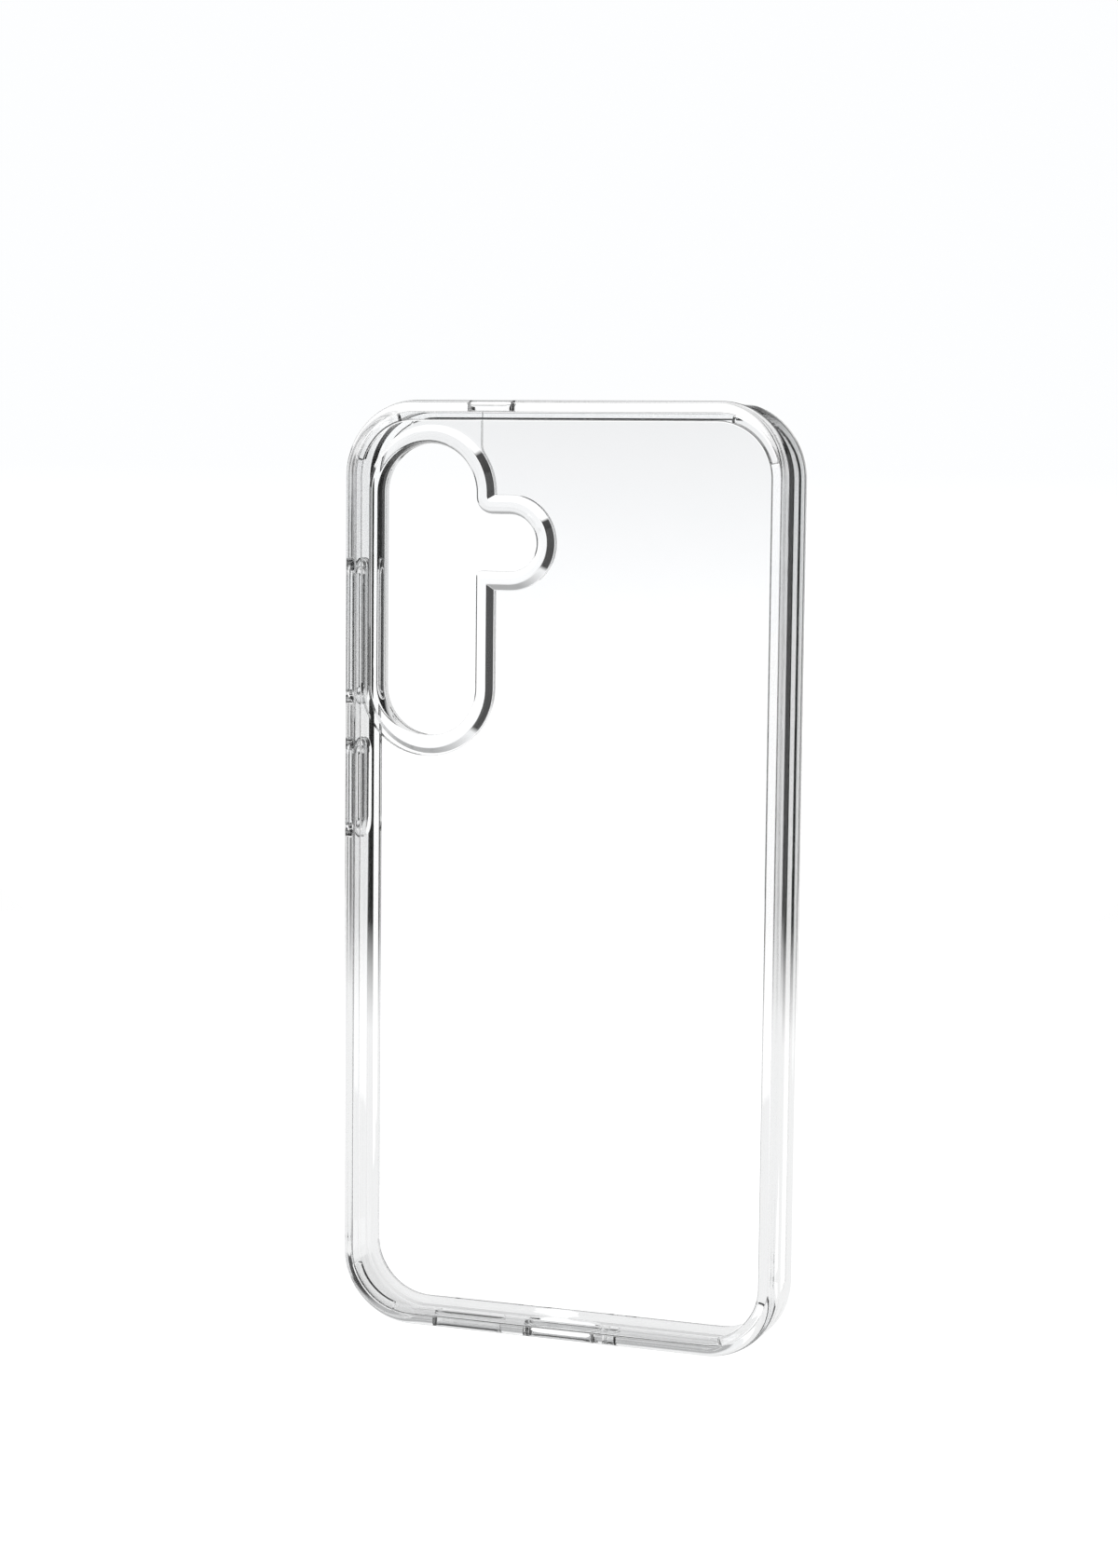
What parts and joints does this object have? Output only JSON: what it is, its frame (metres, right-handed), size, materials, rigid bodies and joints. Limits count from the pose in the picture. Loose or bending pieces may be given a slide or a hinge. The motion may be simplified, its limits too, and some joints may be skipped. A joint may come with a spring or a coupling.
{
  "type": "phone case",
  "caption": "Clear protective phone case: soft bumper frame round a stiff back plate, with a raised camera surround, sprung key covers and corner cushions.",
  "frame": {"origin": "centre of the whole case's box in X and Y, level with its bottom edge", "axes": "+Z from the bottom edge with the ports to the top edge; -Y out of the back, through the camera opening; +Y out of the open front where the phone goes in; -X out of the side with the key covers"},
  "size_m": [0.0816, 0.0122, 0.1622],
  "materials": {
    "soft_clear": "clear soft moulding, glossy",
    "hard_clear": "clear stiff sheet, polished",
    "web_clear": "clear soft moulding, thin and slightly hazy",
    "cushion_clear": "clear soft moulding, slightly hazy"
  },
  "bodies": {
    "case": {"bumper_frame": "soft_clear", "back_plate": "hard_clear", "camera_surround": "soft_clear", "volume_button_web": "web_clear", "power_button_web": "web_clear", "corner_cushion_top_right": "cushion_clear", "corner_cushion_top_left": "cushion_clear", "corner_cushion_bottom_left": "cushion_clear", "corner_cushion_bottom_right": "cushion_clear"},
    "volume_key": {"volume_button": "soft_clear"},
    "power_key": {"power_button": "soft_clear"}
  },
  "joints": [
    {"name": "volume_rock", "type": "hinge", "parent": "case", "child": "volume_key", "pos_m": [-0.03875, 0.0007, 0.122], "axis": [0, 1, 0], "range_deg": [-2, 2], "stiffness_Nm_per_rad": 0.9},
    {"name": "power_press", "type": "slide", "parent": "case", "child": "power_key", "axis": [1, 0, 0], "range_m": [0, 0.0004], "stiffness_N_per_m": 7500}
  ]
}
